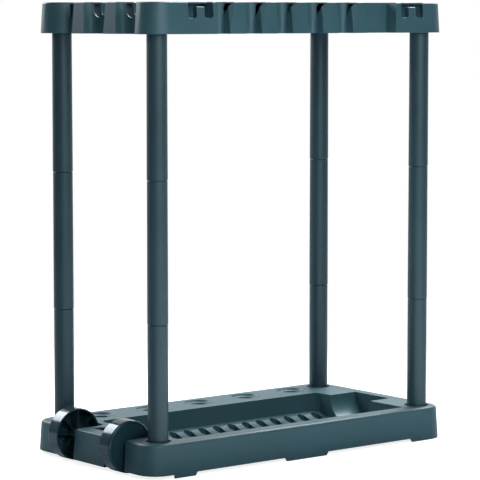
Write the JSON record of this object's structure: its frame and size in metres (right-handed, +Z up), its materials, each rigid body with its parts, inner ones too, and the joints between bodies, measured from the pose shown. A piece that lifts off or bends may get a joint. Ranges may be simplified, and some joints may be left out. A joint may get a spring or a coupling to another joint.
{
  "type": "garden tool rack",
  "caption": "Freestanding rolling rack for long-handled garden tools: slotted base tray with handle cups and two wheels, push-fit tube legs and a notched top rack with hooks.",
  "frame": {"origin": "on the floor, under the middle of the whole rack's bounding box", "axes": "+X along the long side away from the wheels, +Y from the front to the back, +Z up"},
  "size_m": [0.6952, 0.3532, 0.7872],
  "materials": {
    "mouldings": "satin moulded polypropylene, dark teal grey",
    "tubes": "satin extruded plastic, dark teal grey",
    "wheels": "glossy moulded plastic",
    "axle": "drawn steel rod"
  },
  "bodies": {
    "frame": {"base_tray": "mouldings", "front_left_lower_tube": "tubes", "front_left_middle_tube": "tubes", "front_left_upper_tube": "tubes", "front_right_lower_tube": "tubes", "front_right_middle_tube": "tubes", "front_right_upper_tube": "tubes", "back_left_lower_tube": "tubes", "back_left_middle_tube": "tubes", "back_left_upper_tube": "tubes", "back_right_lower_tube": "tubes", "back_right_middle_tube": "tubes", "back_right_upper_tube": "tubes", "top_rack": "mouldings", "wheel_axle": "axle"},
    "front_wheel_body": {"front_wheel": "wheels"},
    "rear_wheel_body": {"rear_wheel": "wheels"}
  },
  "joints": [
    {"name": "front_wheel_spin", "type": "hinge", "parent": "frame", "child": "front_wheel_body", "pos_m": [-0.30285, -0.08035, 0.0452], "axis": [0, 1, 0], "continuous": true},
    {"name": "rear_wheel_spin", "type": "hinge", "parent": "frame", "child": "rear_wheel_body", "pos_m": [-0.30285, 0.07315, 0.0452], "axis": [0, 1, 0], "continuous": true}
  ]
}
